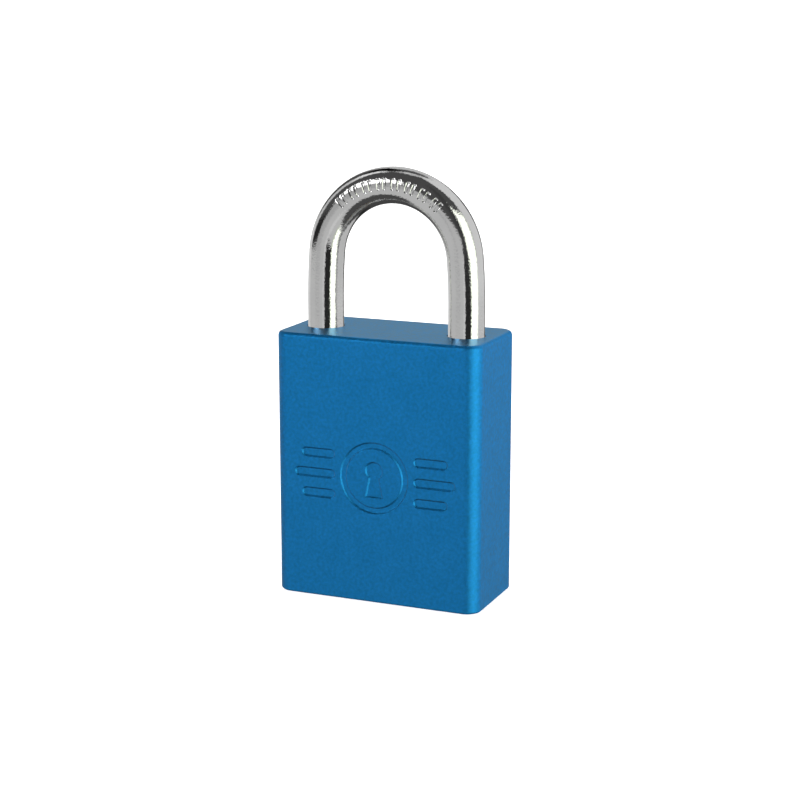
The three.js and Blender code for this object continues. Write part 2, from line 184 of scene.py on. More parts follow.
def turned(name, profile, segments=96, at=(0, 0), along_x=None):
    """Turned piece about Z at the point `at`, from (radius, height) pairs. along_x=z lays it
    along +X at that height instead. The ends are closed flat."""
    rings = [at_height(circle(r, segments), h) for r, h in profile]
    obj = loft(name, rings)
    if along_x is None:
        obj.data.transform(Matrix.Translation((at[0] * MM, at[1] * MM, 0)))
    else:
        obj.data.transform(Matrix.Rotation(math.pi / 2, 4, "Y"))
        obj.data.transform(Matrix.Translation((0, 0, along_x * MM)))
    return obj


def straight_cutter(name, radius, start, end, segments=96, **place):
    """Cylinder that cuts a hole. place is what turned() takes."""
    return turned(name, [(radius, start), (radius, end)], segments, **place)


def prism(name, outline, z0, z1):
    return loft(name, [at_height(outline, z0), at_height(outline, z1)])


def box_prism(name, x0, x1, y0, y1, z0, z1, corner=0.0):
    outline = [(x0, y0), (x1, y0), (x1, y1), (x0, y1)]
    return prism(name, rounded(outline, corner, 5, closed=True), z0, z1)


def sweep(name, path, radius, sides=16):
    """Round wire along a path of points."""
    path = np.asarray(path, float)
    tangents = np.gradient(path, axis=0)
    tangents /= np.linalg.norm(tangents, axis=1)[:, None]
    side = np.cross(tangents[0], (0.0, 0.3, 1.0))
    rings = []
    angles = np.arange(sides) * 2 * math.pi / sides
    for point, tangent in zip(path, tangents):
        side = side - tangent * (side @ tangent)
        side /= np.linalg.norm(side)
        other = np.cross(tangent, side)
        rings.append(
            point
            + radius * (np.outer(np.cos(angles), side) + np.outer(np.sin(angles), other))
        )
    return loft(name, rings)


def apply_modifiers(obj):
    graph = bpy.context.evaluated_depsgraph_get()
    mesh = bpy.data.meshes.new_from_object(obj.evaluated_get(graph))
    obj.modifiers.clear()
    obj.data = mesh


def combine(obj, other, operation):
    modifier = obj.modifiers.new("combine", "BOOLEAN")
    modifier.operation = operation
    modifier.solver = "MANIFOLD"
    modifier.object = other
    apply_modifiers(obj)
    bpy.data.objects.remove(other)


def cut(obj, *cutters):
    for cutter in cutters:
        combine(obj, cutter, "DIFFERENCE")


def soften(obj, width, segments=3, angle=35):
    """Rounds the edges that are sharper than angle."""
    bpy.context.view_layer.update()
    modifier = obj.modifiers.new("soften", "BEVEL")
    modifier.width = width * MM
    modifier.segments = segments
    modifier.limit_method = "ANGLE"
    modifier.angle_limit = math.radians(angle)
    modifier.use_clamp_overlap = True
    apply_modifiers(obj)


def shade(obj, angle=32):
    """Smooth shading, with edges over the angle kept sharp and flat faces kept flat."""
    obj.data.polygons.foreach_set("use_smooth", [True] * len(obj.data.polygons))
    obj.data.set_sharp_from_angle(angle=math.radians(angle))
    modifier = obj.modifiers.new("flat_faces", "WEIGHTED_NORMAL")
    modifier.keep_sharp = True
    modifier.weight = 80
    apply_modifiers(obj)


def stand_for(obj, node, body, material):
    """Hands a finished piece to the frame: it replaces the node and rides on the body."""
    shade(obj)
    obj.data.materials.clear()
    obj.data.materials.append(material)
    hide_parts(node)
    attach(obj, body)
    return obj


# ------------------------------------------------------------------ materials


class Nodes:
    """Short names for building a material's node tree."""

    def __init__(self, name):
        self.material = bpy.data.materials.new(name)
        self.material.use_nodes = True
        self.tree = self.material.node_tree
        self.shader = self.tree.nodes["Principled BSDF"]
        self.place = self.add("ShaderNodeTexCoord").outputs["Object"]

    def add(self, kind, **settings):
        node = self.tree.nodes.new(kind)
        for key, value in settings.items():
            setattr(node, key, value)
        return node

    def link(self, output, socket):
        self.tree.links.new(output, socket)

    def noise(self, scale, detail=2.0):
        node = self.add("ShaderNodeTexNoise")
        node.inputs["Scale"].default_value = scale
        node.inputs["Detail"].default_value = detail
        self.link(self.place, node.inputs["Vector"])
        return node.outputs["Fac"]

    def rings(self, per_metre, distortion=0.4):
        node = self.add("ShaderNodeTexWave", wave_type="RINGS", rings_direction="Z")
        node.inputs["Scale"].default_value = per_metre
        node.inputs["Distortion"].default_value = distortion
        node.inputs["Detail"].default_value = 2.0
        self.link(self.place, node.inputs["Vector"])
        return node.outputs["Fac"]

    def spread(self, value, low, high, from_low=0.3, from_high=0.7):
        node = self.add("ShaderNodeMapRange")
        node.inputs["From Min"].default_value = from_low
        node.inputs["From Max"].default_value = from_high
        node.inputs["To Min"].default_value = low
        node.inputs["To Max"].default_value = high
        self.link(value, node.inputs["Value"])
        return node.outputs["Result"]

    def blend(self, value, first, second):
        ramp = self.add("ShaderNodeValToRGB")
        ramp.color_ramp.elements[0].position = 0.3
        ramp.color_ramp.elements[1].position = 0.7
        ramp.color_ramp.elements[0].color = (*first, 1)
        ramp.color_ramp.elements[1].color = (*second, 1)
        self.link(value, ramp.inputs["Fac"])
        return ramp.outputs["Color"]

    def bump(self, height, strength, distance_mm):
        node = self.add("ShaderNodeBump")
        node.inputs["Strength"].default_value = strength
        node.inputs["Distance"].default_value = distance_mm * MM
        self.link(height, node.inputs["Height"])
        self.link(node.outputs["Normal"], self.shader.inputs["Normal"])


def anodised_aluminium():
    """Satin blue anodising over fine bead-blasted metal."""
    nodes = Nodes("anodised_blue")
    shader = nodes.shader
    shader.inputs["Metallic"].default_value = 1.0
    grain = nodes.noise(1800, 3.0)
    colour = nodes.blend(nodes.noise(260, 3.0), (0.0215, 0.350, 0.835), (0.0250, 0.368, 0.875))
    # painted shade: the colour darkens towards the foot, and every grain takes the dye
    # differently
    split = nodes.add("ShaderNodeSeparateXYZ")
    nodes.link(nodes.place, split.inputs["Vector"])
    # depth carries the painted shade, from 0.90 at the foot to 1.02 at the top
    depth = nodes.spread(split.outputs["Z"], 0.90, 1.02, 0, BODY_TOP * MM)
    painted_shade_and_grain = nodes.add("ShaderNodeMath", operation="MULTIPLY")
    nodes.link(depth, painted_shade_and_grain.inputs[0])
    nodes.link(nodes.spread(grain, 0.86, 1.14), painted_shade_and_grain.inputs[1])
    # the colour is scaled by the painted shade and the grain
    apply_painted_shade_and_grain = nodes.add("ShaderNodeVectorMath", operation="SCALE")
    nodes.link(colour, apply_painted_shade_and_grain.inputs["Vector"])
    nodes.link(painted_shade_and_grain.outputs["Value"], apply_painted_shade_and_grain.inputs["Scale"])
    nodes.link(apply_painted_shade_and_grain.outputs["Vector"], shader.inputs["Base Color"])
    shader.inputs["Specular Tint"].default_value = (1.0, 1.0, 0.80, 1)
    # the top is finished smoother than the sides, and mirrors the shackle's legs a little
    top = (BODY_TOP - 0.25) * MM, (BODY_TOP - 0.05) * MM
    roughness = nodes.add("ShaderNodeMath", operation="SUBTRACT")
    nodes.link(nodes.spread(grain, 0.48, 0.56), roughness.inputs[0])
    nodes.link(nodes.spread(split.outputs["Z"], 0, 0.18, *top), roughness.inputs[1])
    nodes.link(roughness.outputs["Value"], shader.inputs["Roughness"])
    nodes.bump(grain, 0.5, 0.02)
    return nodes.material


def chrome_plate():
    """Bright chrome whose reflections break up slightly along their edges."""
    nodes = Nodes("chrome_plate")
    shader = nodes.shader
    shader.inputs["Metallic"].default_value = 1.0
    tone = nodes.blend(nodes.noise(180, 2.0), (0.80, 0.80, 0.80), (0.86, 0.86, 0.855))
    nodes.link(tone, shader.inputs["Base Color"])
    peel = nodes.noise(3000, 2.0)
    nodes.link(nodes.spread(peel, 0.02, 0.05), shader.inputs["Roughness"])
    nodes.bump(peel, 0.9, 0.024)
    return nodes.material


def turned_metal(name, first, second, roughness, ring_density=0.0, grain=1500):
    """Machined metal: slight stains, grain, and tool rings about the plug's axis if asked."""
    nodes = Nodes(name)
    shader = nodes.shader
    shader.inputs["Metallic"].default_value = 1.0
    nodes.link(nodes.blend(nodes.noise(420, 4.0), first, second), shader.inputs["Base Color"])
    fine = nodes.noise(grain, 3.0)
    spread = nodes.spread(fine, roughness * 0.8, roughness * 1.25)
    nodes.link(spread, shader.inputs["Roughness"])
    if ring_density:
        nodes.bump(nodes.rings(ring_density), 0.35, 0.01)
    else:
        nodes.bump(fine, 0.2, 0.01)
    return nodes.material


BLUE = anodised_aluminium()
# painted shade for the walls of the bores: a dark blue-grey stands in for the shade they lose
# when the case is left out of reflections
PAINTED_BORE_SHADE = turned_metal("shaded_bore", (0.003, 0.030, 0.070), (0.005, 0.038, 0.085), 0.45)
CHROME = chrome_plate()
BALL_STEEL = turned_metal("ball_steel", (0.62, 0.63, 0.65), (0.7, 0.7, 0.71), 0.12, grain=900)
ZINC = turned_metal("zinc_plate", (0.50, 0.52, 0.53), (0.62, 0.62, 0.60), 0.36)
BRASS = turned_metal("cylinder_brass", (0.60, 0.42, 0.17), (0.70, 0.51, 0.24), 0.3, 2200)
PLUG_METAL = turned_metal("plug_nickel", (0.56, 0.53, 0.46), (0.66, 0.63, 0.56), 0.26, 2600)
PIN_BRASS = turned_metal("pin_brass", (0.63, 0.45, 0.19), (0.72, 0.53, 0.26), 0.25)
NICKEL_SILVER = turned_metal("nickel_silver", (0.55, 0.53, 0.47), (0.64, 0.62, 0.57), 0.24)
SPRING_STEEL = turned_metal("spring_steel", (0.30, 0.31, 0.32), (0.42, 0.42, 0.42), 0.3)

# ------------------------------------------------------------------ body


def recess(distance, soft_edge):
    """1 inside a shape, 0 outside, with a soft wall soft_edge wide, from a signed distance."""
    t = np.clip(0.5 - distance / soft_edge, 0, 1)
    return t * t * (3 - 2 * t)


def distance_to_bar(x, z, centre_x, centre_z, half_length, half_height, corner):
    dx = np.abs(x - centre_x) - (half_length - corner)
    dz = np.abs(z - centre_z) - (half_height - corner)
    outside = np.hypot(np.maximum(dx, 0), np.maximum(dz, 0))
    return outside + np.minimum(np.maximum(dx, dz), 0) - corner


MARK_CENTRE = 22.5  # height of the front mark's centre
MARK_HALF_WIDTH = 15.0
MARK_HALF_HEIGHT = 6.3
MARK_LINE = 0.5  # half the width of the mark's ring
MARK_DEPTH = 0.3
MARK_WALL = 0.3
MARK_STEP = 0.1
MARK_BORDER = 0.4  # plain part of the dense mesh round the mark
HOLE_RADIUS = 1.55
HOLE_LIFT = 1.3
SKIRT_HALF_WIDTH = 0.75  # at the skirt's top, where it meets the hole
SKIRT_TOP = 0.6
SKIRT_MIDDLE = -1.35
SKIRT_HALF_HEIGHT = 2.05
SKIRT_SLOPE = 0.2
BAR_GAP = 1.2
BAR_HALF_HEIGHT = 0.75
BAR_ENDS = ((-3.6, 13.6), (0.0, MARK_HALF_WIDTH), (3.6, 13.6))  # each bar's height and reach


def mark_height(x, z):
    """Depth of the front mark, from 0 to 1: a keyhole in a ring, with plain bars beside it."""
    u = x
    v = z - MARK_CENTRE
    ring = np.abs(np.hypot(u, v) - (MARK_HALF_HEIGHT - MARK_LINE)) - MARK_LINE
    hole = np.hypot(u, v - HOLE_LIFT) - HOLE_RADIUS
    skirt = np.abs(u) - (SKIRT_HALF_WIDTH + SKIRT_SLOPE * (SKIRT_TOP - v))
    skirt = np.maximum(skirt, np.abs(v - SKIRT_MIDDLE) - SKIRT_HALF_HEIGHT)
    shape = np.minimum(ring, np.minimum(hole, skirt))
    start = MARK_HALF_HEIGHT + BAR_GAP
    for row, end in BAR_ENDS:
        centre = (start + end) / 2
        half = (end - start) / 2
        bar = distance_to_bar(np.abs(u), v, centre, row, half, BAR_HALF_HEIGHT, BAR_HALF_HEIGHT)
        shape = np.minimum(shape, bar)
    return recess(shape, MARK_WALL)


def soft_corner(evenness, steps=20):
    """Quarter turn from (1, 0) to (0, 1), whose middle is flatter than a circle's."""
    u = (np.arange(steps) + 0.5) * 2 / steps - 1
    facing = math.pi / 4 * (1 + evenness * u + (1 - evenness) * u**3)
    strides = np.stack([-np.sin(facing), np.cos(facing)], 1)
    points = np.concatenate([[(0, 0)], np.cumsum(strides, axis=0)])
    return points / points[-1, 1] + (1, 0)


BODY_CORNER = soft_corner(CORNER_EVENNESS)


def body_outline(inset):
    """Rounded rectangle, anticlockwise from the front's left end, with the front's inner
    points close together for the mark."""
    straight_x = HALF_WIDTH - CORNER_RADIUS
    straight_y = HALF_DEPTH - CORNER_RADIUS
    from_corner = 0.3
    reach = MARK_HALF_WIDTH + MARK_BORDER
    dense = np.arange(-reach, reach + MARK_STEP / 2, MARK_STEP)
    front = np.concatenate([[-straight_x + from_corner], dense, [straight_x - from_corner]])
    points = [(x, -HALF_DEPTH + inset) for x in front]
    corners = ((1, -1, -90), (1, 1, 0), (-1, 1, 90), (-1, -1, 180))
    along_side = np.linspace(-straight_y, straight_y, 8)[1:-1]
    along_back = np.linspace(straight_x, -straight_x, 20)[1:-1]
    sides = {  # the points that follow each corner
        (1, -1): [(HALF_WIDTH - inset, y) for y in along_side],
        (1, 1): [(x, HALF_DEPTH - inset) for x in along_back],
        (-1, 1): [(inset - HALF_WIDTH, y) for y in along_side[::-1]],
        (-1, -1): [],
    }
    radius = CORNER_RADIUS - inset
    for sign_x, sign_y, start in corners:
        cos, sin = math.cos(math.radians(start)), math.sin(math.radians(start))
        for x, y in radius * BODY_CORNER:
            points.append((
                sign_x * straight_x + x * cos - y * sin,
                sign_y * straight_y + x * sin + y * cos,
            ))
        points += sides[(sign_x, sign_y)]
    return np.array(points)


def body_block():
    """The block's skin, with its rounded edges and the debossed mark."""
    rings = []
    arc = np.radians(np.linspace(0, 90, 7))
    edge = [(1 - math.sin(a), 1 - math.cos(a)) for a in arc]
    mark_low = MARK_CENTRE - MARK_HALF_HEIGHT - MARK_BORDER
    mark_high = MARK_CENTRE + MARK_HALF_HEIGHT + MARK_BORDER
    levels = [(FOOT_RADIUS + FLAT_RING, 0.0)]
    levels += [(FOOT_RADIUS * inset, FOOT_RADIUS * z) for inset, z in edge]
    levels += [(0, z) for z in np.linspace(FOOT_RADIUS, mark_low, 6)[1:-1]]
    levels += [(0, z) for z in np.arange(mark_low, mark_high + MARK_STEP / 2, MARK_STEP)]
    levels += [(0, z) for z in np.linspace(mark_high, BODY_TOP - EDGE_RADIUS, 7)[1:-1]]
    levels += [(EDGE_RADIUS * inset, BODY_TOP - EDGE_RADIUS * z) for inset, z in reversed(edge)]
    levels += [(EDGE_RADIUS + FLAT_RING, BODY_TOP)]
    for inset, z in levels:
        ring = at_height(body_outline(inset), z)
        front = ring[:, 1] < -HALF_DEPTH + 1e-6
        ring[front, 1] += MARK_DEPTH * mark_height(ring[front, 0], z)
        rings.append(ring)
    return loft("case_block", rings)


def flared_bore(name, floor, top, x, flare=0.2):
    """Cutter for a leg's bore, with a closer rounded mouth at the height top."""
    arc = np.radians(np.linspace(0, 90, 6))
    mouth = [
        (BORE_MOUTH + flare * (1 - math.cos(a)), top - flare + flare * math.sin(a)) for a in arc
    ]
    narrow = top - 2
    profile = [(BORE_RADIUS, floor), (BORE_RADIUS, narrow - 0.2), (BORE_MOUTH, narrow)]
    profile += mouth + [(BORE_MOUTH + flare, top + 1)]
    return turned(name, profile, at=(x, 0))


def pear(radius, half_width, reach, segments=72):
    """Outline of the key cylinder: a circle with a straight-sided bible towards +X."""
    start = math.asin(half_width / radius)
    angles = np.linspace(start, 2 * math.pi - start, segments)
    points = [(radius * math.cos(a), radius * math.sin(a)) for a in angles]
    tip = half_width * 0.35
    for centre_y, first in ((tip - half_width, -90), (half_width - tip, 0)):
        for a in np.radians(np.linspace(first, first + 90, 9)):
            points.append((reach - tip + tip * math.cos(a), centre_y + tip * math.sin(a)))
    return points


def pear_rings(offsets_and_heights):
    """Rings of the pear outline, each grown by its offset and lifted to its height."""
    return [
        at_height(pear(SHELL_RADIUS + o, BIBLE_HALF + o, BIBLE_REACH + o), z)
        for o, z in offsets_and_heights
    ]


def in_a_bore(x, y, z):
    """Whether a face of the case, with its middle here, lies in one of the bores."""
    skin, foot, rim = 0.9, 0.5, 0.15
    gaps = HALF_WIDTH - abs(x), HALF_DEPTH - abs(y)
    return min(gaps) > skin and max(gaps) > CORNER_RADIUS and foot < z < BODY_TOP - rim


def make_body():
    body = body_block()
    rim = 0.2
    gap = POCKET_GAP
    shell_top = size_of("cylinder_shell")[1][2]
    pocket_levels = [(gap + rim, -1.0), (gap + rim, 0.0)]
    for a in np.radians((20, 40, 60, 75, 90)):
        pocket_levels.append((gap + rim * (1 - math.sin(a)), rim * (1 - math.cos(a))))
    pocket_levels.append((gap, shell_top + gap))
    in_pocket = 10
    screw_way = SCREW_HOLE_RADIUS, shell_top - 1, SCREW_HOLE_TOP
    cut(
        body,
        flared_bore("heel_bore", HEEL_BORE_FLOOR, BODY_TOP, -LEG_X),
        flared_bore("toe_bore", TOE_BORE_FLOOR, BODY_TOP, LEG_X),
        straight_cutter("screw_way", *screw_way, 32, at=(LEG_X, 0)),
        straight_cutter("passage", PASSAGE_RADIUS, -LEG_X, LEG_X, 64, along_x=BALL_LEVEL),
        loft("pocket", pear_rings(pocket_levels)),
        straight_cutter("plug_room", SHELL_RADIUS + gap, in_pocket, PLUG_TOP + gap),
        straight_cutter("chamber", CAM_BORE_RADIUS, in_pocket, CAM_BORE_TOP),
    )
    # The photograph's chrome mirrors the studio and shows no blue, so reflections leave out
    # the case.
    body.visible_glossy = False
    stand_for(body, "body", "case", BLUE)
    # the walls of the bores take the painted shade
    body.data.materials.append(PAINTED_BORE_SHADE)
    for face in body.data.polygons:
        if in_a_bore(*(face.center / MM)):
            face.material_index = 1
    return body


# ------------------------------------------------------------------ shackle

APEX = shackle_high[2] - ROD_RADIUS  # centreline height of the bow
ARC_START = BODY_TOP + LEG_STRAIGHT
CROWN_CENTRE = APEX - CROWN_RADIUS
LEAN = 2 * math.atan2(LEG_X - CROWN_RADIUS, CROWN_CENTRE - ARC_START)
SIDE_RADIUS = CROWN_RADIUS + (CROWN_CENTRE - ARC_START) / math.sin(LEAN)
SIDE_LENGTH = SIDE_RADIUS * LEAN
CROWN_LENGTH = CROWN_RADIUS * (math.pi - 2 * LEAN)
BOW_LENGTH = 2 * SIDE_LENGTH + CROWN_LENGTH

STAMP_COUNT = 8
STAMP_SPREAD = math.radians(92)  # part of the crown that the stamps cover
STAMP_TILT = math.radians(82)  # from the bow's outer side to the stamps' middle
STAMP_HALF_HEIGHT = 0.95
STAMP_HALF_WIDTH = 0.24
STAMP_PAIR = 0.55
STAMP_DEPTH = 0.16
STAMP_WALL = 0.16
STAMP_CORNER = 0.1
STAMP_MARGIN = 0.4  # plain part of the dense mesh beyond the stamps
STAMP_STEP = 0.11


def bow_point(s):
    """Centreline of the bow at s from its left springing: x, z and the outward angle."""
    mirrored = s > BOW_LENGTH / 2
    t = BOW_LENGTH - s if mirrored else s
    if t <= SIDE_LENGTH:
        angle = t / SIDE_RADIUS
        x = LEG_X - SIDE_RADIUS * (1 - math.cos(angle))
        z = ARC_START + SIDE_RADIUS * math.sin(angle)
    else:
        angle = LEAN + (t - SIDE_LENGTH) / CROWN_RADIUS
        x = CROWN_RADIUS * math.cos(angle)
        z = CROWN_CENTRE + CROWN_RADIUS * math.sin(angle)
    if mirrored:
        return x, z, angle
    return -x, z, math.pi - angle


def stamp_height(along, around):
    """Depth of the row of paired strokes on the crown. along and around are in mm."""
    pitch = STAMP_SPREAD * CROWN_RADIUS / STAMP_COUNT
    half_row = pitch * STAMP_COUNT / 2
    cell = np.mod(along + half_row, pitch) - pitch / 2
    stroke = distance_to_bar(
        np.abs(cell), around, STAMP_PAIR, 0, STAMP_HALF_WIDTH, STAMP_HALF_HEIGHT, STAMP_CORNER
    )
    outside = np.abs(along) - half_row
    return recess(np.maximum(stroke, outside), STAMP_WALL)


def make_shackle():
    sides = 160
    around = np.arange(sides) * 2 * math.pi / sides
    rings = []

    def add_ring(x, z, outward, radius, depth=0.0):
        out = np.array([math.cos(outward), 0, math.sin(outward)])
        front = np.array([0, -1.0, 0])
        reach = (radius - depth)[:, None] if np.ndim(depth) else radius
        rings.append(
            np.array([x, 0, z])
            + reach * (np.outer(np.cos(around), out) + np.outer(np.sin(around), front))
        )

    neck_low = BALL_LEVEL - LIFT - NECK_MARGIN
    neck_high = BALL_LEVEL + NECK_MARGIN
    heel = rounded(
        [
            (ROD_RADIUS - LEG_CHAMFER, HEEL_END),
            (ROD_RADIUS, HEEL_END + LEG_CHAMFER),
            (ROD_RADIUS, neck_low - LEG_CHAMFER),
            (NECK_RADIUS, neck_low),
            (NECK_RADIUS, neck_high),
            (ROD_RADIUS, neck_high + LEG_CHAMFER),
            (ROD_RADIUS, ARC_START),
        ],
        0.35,
    )
    for radius, z in heel[:-1]:
        add_ring(-LEG_X, z, math.pi, radius)
    stamp_length = STAMP_SPREAD * CROWN_RADIUS / 2 + STAMP_MARGIN
    middle = BOW_LENGTH / 2
    steps = np.concatenate([
        np.linspace(0, middle - stamp_length, 40)[:-1],
        np.arange(middle - stamp_length, middle + stamp_length, STAMP_STEP),
        np.linspace(middle + stamp_length, BOW_LENGTH, 40),
    ])
    tilt = ROD_RADIUS * (around - STAMP_TILT)
    for s in steps:
        x, z, outward = bow_point(s)
        depth = STAMP_DEPTH * stamp_height(np.full(sides, s - middle), tilt)
        add_ring(x, z, outward, ROD_RADIUS, depth)
    toe = rounded(
        [
            (ROD_RADIUS, ARC_START),
            (ROD_RADIUS, TOE_END + LEG_CHAMFER),
            (ROD_RADIUS - LEG_CHAMFER, TOE_END),
        ],
        0.3,
    )
    for radius, z in toe[1:]:
        add_ring(LEG_X, z, 0, radius)
    rod = loft("shackle_rod", rings)

    # The notch is the way of the toe ball as the shackle sees it while it opens.
    reach = BALL_RADIUS + CLEARANCE
    start = np.array([BALL_CENTRE, 0, BALL_LEVEL])
    end = np.array([BALL_CENTRE - TOE_TRAVEL, 0, BALL_LEVEL - LIFT])
    length = np.linalg.norm(end - start)
    cap = np.radians(np.linspace(2, 90, 14))
    profile = [(reach * math.sin(a), -reach * math.cos(a)) for a in cap]
    profile += [(reach * math.sin(a), length + reach * math.cos(a)) for a in reversed(cap)]
    notch = turned("notch", profile, 64)
    turn = Vector((0, 0, 1)).rotation_difference(Vector(end - start)).to_matrix().to_4x4()
    notch.data.transform(Matrix.Translation(Vector(start) * MM) @ turn)
    cut(rod, notch)
    return stand_for(rod, "shackle", "shackle", CHROME)


# ------------------------------------------------------------------ locking parts


def make_ball(name, node, x):
    arc = np.radians(np.linspace(1.5, 178.5, 49))
    profile = [(BALL_RADIUS * math.sin(a), -BALL_RADIUS * math.cos(a)) for a in arc]
    ball = turned(name, profile, 72)
    ball.data.transform(Matrix.Translation((x * MM, 0, BALL_LEVEL * MM)))
    return stand_for(ball, node, node, BALL_STEEL)


def cam_radius(ray, ball_angle, travel):
    """Radius of the cam along a ray that clears a ball moving in over a quarter turn."""
    share = np.linspace(0, 1, 91)
    centre = BALL_CENTRE - travel * share
    off = ray - (ball_angle - share * math.pi / 2)
    side = centre * np.sin(off)
    reach = BALL_RADIUS + CLEARANCE
    touches = (np.cos(off) > 0) & (np.abs(side) < reach)
    if not touches.any():
        return CAM_RADIUS
    depth = np.sqrt(reach**2 - side[touches] ** 2)
    return min(CAM_RADIUS, float((centre[touches] * np.cos(off[touches]) - depth).min()))


def make_actuator():
    low, high = size_of("actuator")
    segments = 144
    rays = np.arange(segments) * 2 * math.pi / segments
    cam = np.array([
        min(cam_radius(a, 0, TOE_TRAVEL), cam_radius(a, math.pi, HEEL_TRAVEL)) for a in rays
    ])
    rim = 0.25
    slot_half_length, slot_half_width, slot_top = 4.25, 1.75, 33.85

    def ring(radius, z):
        return at_height(circle(1, segments) * np.reshape(radius, (-1, 1)), z)

    hub = np.full(segments, CAM_RADIUS)
    rings = [ring(hub - rim, low[2]), ring(hub, low[2] + rim), ring(hub, CAM_HUB_TOP - rim)]
    rings += [ring(np.maximum(hub - rim, cam), CAM_HUB_TOP), ring(cam, CAM_HUB_TOP + 0.02)]
    rings += [ring(cam, high[2] - rim), ring(cam - rim, high[2])]
    actuator = loft("actuator_cam", rings)
    across = -slot_half_length, slot_half_length, -slot_half_width, slot_half_width
    cut(actuator, box_prism("slot", *across, low[2] - 1, slot_top, 0.3))
    return stand_for(actuator, "actuator", "actuator", ZINC)


def coil_path(radius, start, end, turns, dead_turns, steps=36):
    """Helix along Z whose first and last dead_turns lie almost flat."""
    t = np.linspace(0, 1, int(turns * steps) + 1)
    dead = dead_turns / turns
    rise = np.clip((t - dead) / (1 - 2 * dead), 0, 1)
    flat = 0.04
    z = start + (end - start) * (flat * t + (1 - flat) * rise)
    angle = 2 * math.pi * turns * t
    return np.column_stack([radius * np.cos(angle), radius * np.sin(angle), z])


def make_shackle_spring():
    low, high = size_of("shackle_spring")
    wire = 0.35
    coil_radius = 2.5
    path = coil_path(coil_radius, low[2] + wire, high[2] - wire, turns=9, dead_turns=1)
    path[:, 0] -= LEG_X
    spring = sweep("shackle_push_spring", path, wire, 14)
    return stand_for(spring, "shackle_spring", "case", SPRING_STEEL)


def make_screw():
    """Socket-head screw with a helical thread on its shank."""
    low, high = size_of("retaining_screw")
    segments = 48
    rays = np.arange(segments) * 2 * math.pi / segments
    head_height, head_radius, socket_radius, socket_depth = 1.7, 2.7, 1.25, 1.0
    shank_top = high[2] - head_height
    pitch, core_radius, thread_depth, plain_radius, taper_length = 0.5, 0.95, 0.3, 1.0, 0.4
    rings = []
    for z in np.arange(low[2], shank_top - 0.5, pitch / 8):
        phase = np.mod((z - low[2]) / pitch - rays / (2 * math.pi), 1)
        ridge = 1 - 2 * np.abs(phase - 0.5)
        taper = min(1, (z - low[2]) / taper_length)
        radius = core_radius + thread_depth * np.clip(1.4 * ridge, 0, 1)
        radius *= 0.8 + 0.2 * taper
        rings.append(at_height(circle(1, segments) * radius[:, None], z))
    head_profile = [
        (plain_radius, shank_top - 0.3),
        (plain_radius, shank_top),
        (head_radius, shank_top),
        (head_radius, high[2]),
        (1.5, high[2]),
    ]
    for radius, z in rounded(head_profile, 0.3):
        rings.append(at_height(circle(radius, segments), z))
    screw = loft("cylinder_screw", rings)
    screw.data.transform(Matrix.Translation((LEG_X * MM, 0, 0)))
    hexagon = circle(socket_radius, 6) + (LEG_X, 0)
    socket = prism("socket", hexagon, high[2] - socket_depth, high[2] + 1)
    cut(screw, socket)
    return stand_for(screw, "retaining_screw", "case", ZINC)


# ------------------------------------------------------------------ key cylinder


def pin_height(index):
    return FIRST_PIN + index * PIN_PITCH


def chamber_cutters(x0, x1):
    return [
        straight_cutter("chamber", CHAMBER_RADIUS, x0, x1, 48, along_x=pin_height(i))
        for i in range(PIN_COUNT)
    ]


def make_shell():
    low, high = size_of("cylinder_shell")
    rim = 0.2
    levels = []
    for a in np.radians((0, 30, 60, 90)):
        levels.append((-rim * (1 - math.sin(a)), low[2] + rim * (1 - math.cos(a))))
    levels += [(0, high[2] - rim), (-rim, high[2])]
    shell = loft("cylinder_housing", pear_rings(levels))
    bore = PLUG_RADIUS + PLUG_BORE_GAP
    flare = 0.15
    mouth = [(bore + flare, low[2] - 1), (bore + flare, low[2]), (bore, low[2] + flare)]
    cover_low = size_of("spring_cover")[0]
    slot_floor, slot_half_width, slot_gap = 14.5, 2.55, 0.25
    slot = slot_floor, 17, -slot_half_width, slot_half_width, cover_low[2] - slot_gap
    screw_hole_floor = 26.85
    screw_hole = SCREW_HOLE_RADIUS, screw_hole_floor, high[2] + 1
    cut(
        shell,
        turned("bore", mouth + [(bore, high[2] + 1)]),
        box_prism("cover_slot", *slot, high[2] + 1),
        straight_cutter("screw_hole", *screw_hole, 48, at=(LEG_X, 0)),
        *chamber_cutters(PLUG_RADIUS - 1, BIBLE_REACH),
    )
    return stand_for(shell, "cylinder_shell", "case", BRASS)


def keyway_outline():
    """Open slot along X with one ward on each side, its corners slightly rounded."""
    corners = [
        (-7.4, -1.1), (-3.6, -1.1), (-3.2, -0.4), (-2.2, -0.4), (-1.8, -1.1), (2.2, -1.1),
        (2.2, 0.7), (0.9, 0.7), (0.5, 0.1), (-0.5, 0.1), (-0.9, 0.9), (-7.4, 0.9),
    ]
    return rounded(corners, 0.15, 3, closed=True)


def make_plug():
    low, high = size_of("plug")
    chamfer = 0.35
    groove_radius, groove_low, groove_high = 5.4, 29.5, 30.5  # for the clip
    tail_half_length, tail_half_width = 4, 1.5
    keyway_top = 28.05
    chamber_floor = -2.3
    profile = rounded(
        [
            (PLUG_RADIUS - 0.9, low[2]),
            (PLUG_RADIUS - chamfer, low[2]),
            (PLUG_RADIUS, low[2] + chamfer),
            (PLUG_RADIUS, groove_low),
            (groove_radius, groove_low),
            (groove_radius, groove_high),
            (PLUG_RADIUS, groove_high),
            (PLUG_RADIUS, PLUG_TOP),
            (PLUG_RADIUS - 0.5, PLUG_TOP),
        ],
        0.12,
        3,
    )
    plug = turned("plug_barrel", profile)
    across = -tail_half_length, tail_half_length, -tail_half_width, tail_half_width
    combine(plug, box_prism("tail", *across, PLUG_TOP - 1, high[2], 0.25), "UNION")
    keyway = prism("keyway", keyway_outline(), -1, keyway_top)
    cut(plug, keyway, *chamber_cutters(chamber_floor, PLUG_RADIUS + 1))
    return stand_for(plug, "plug", "plug", PLUG_METAL)


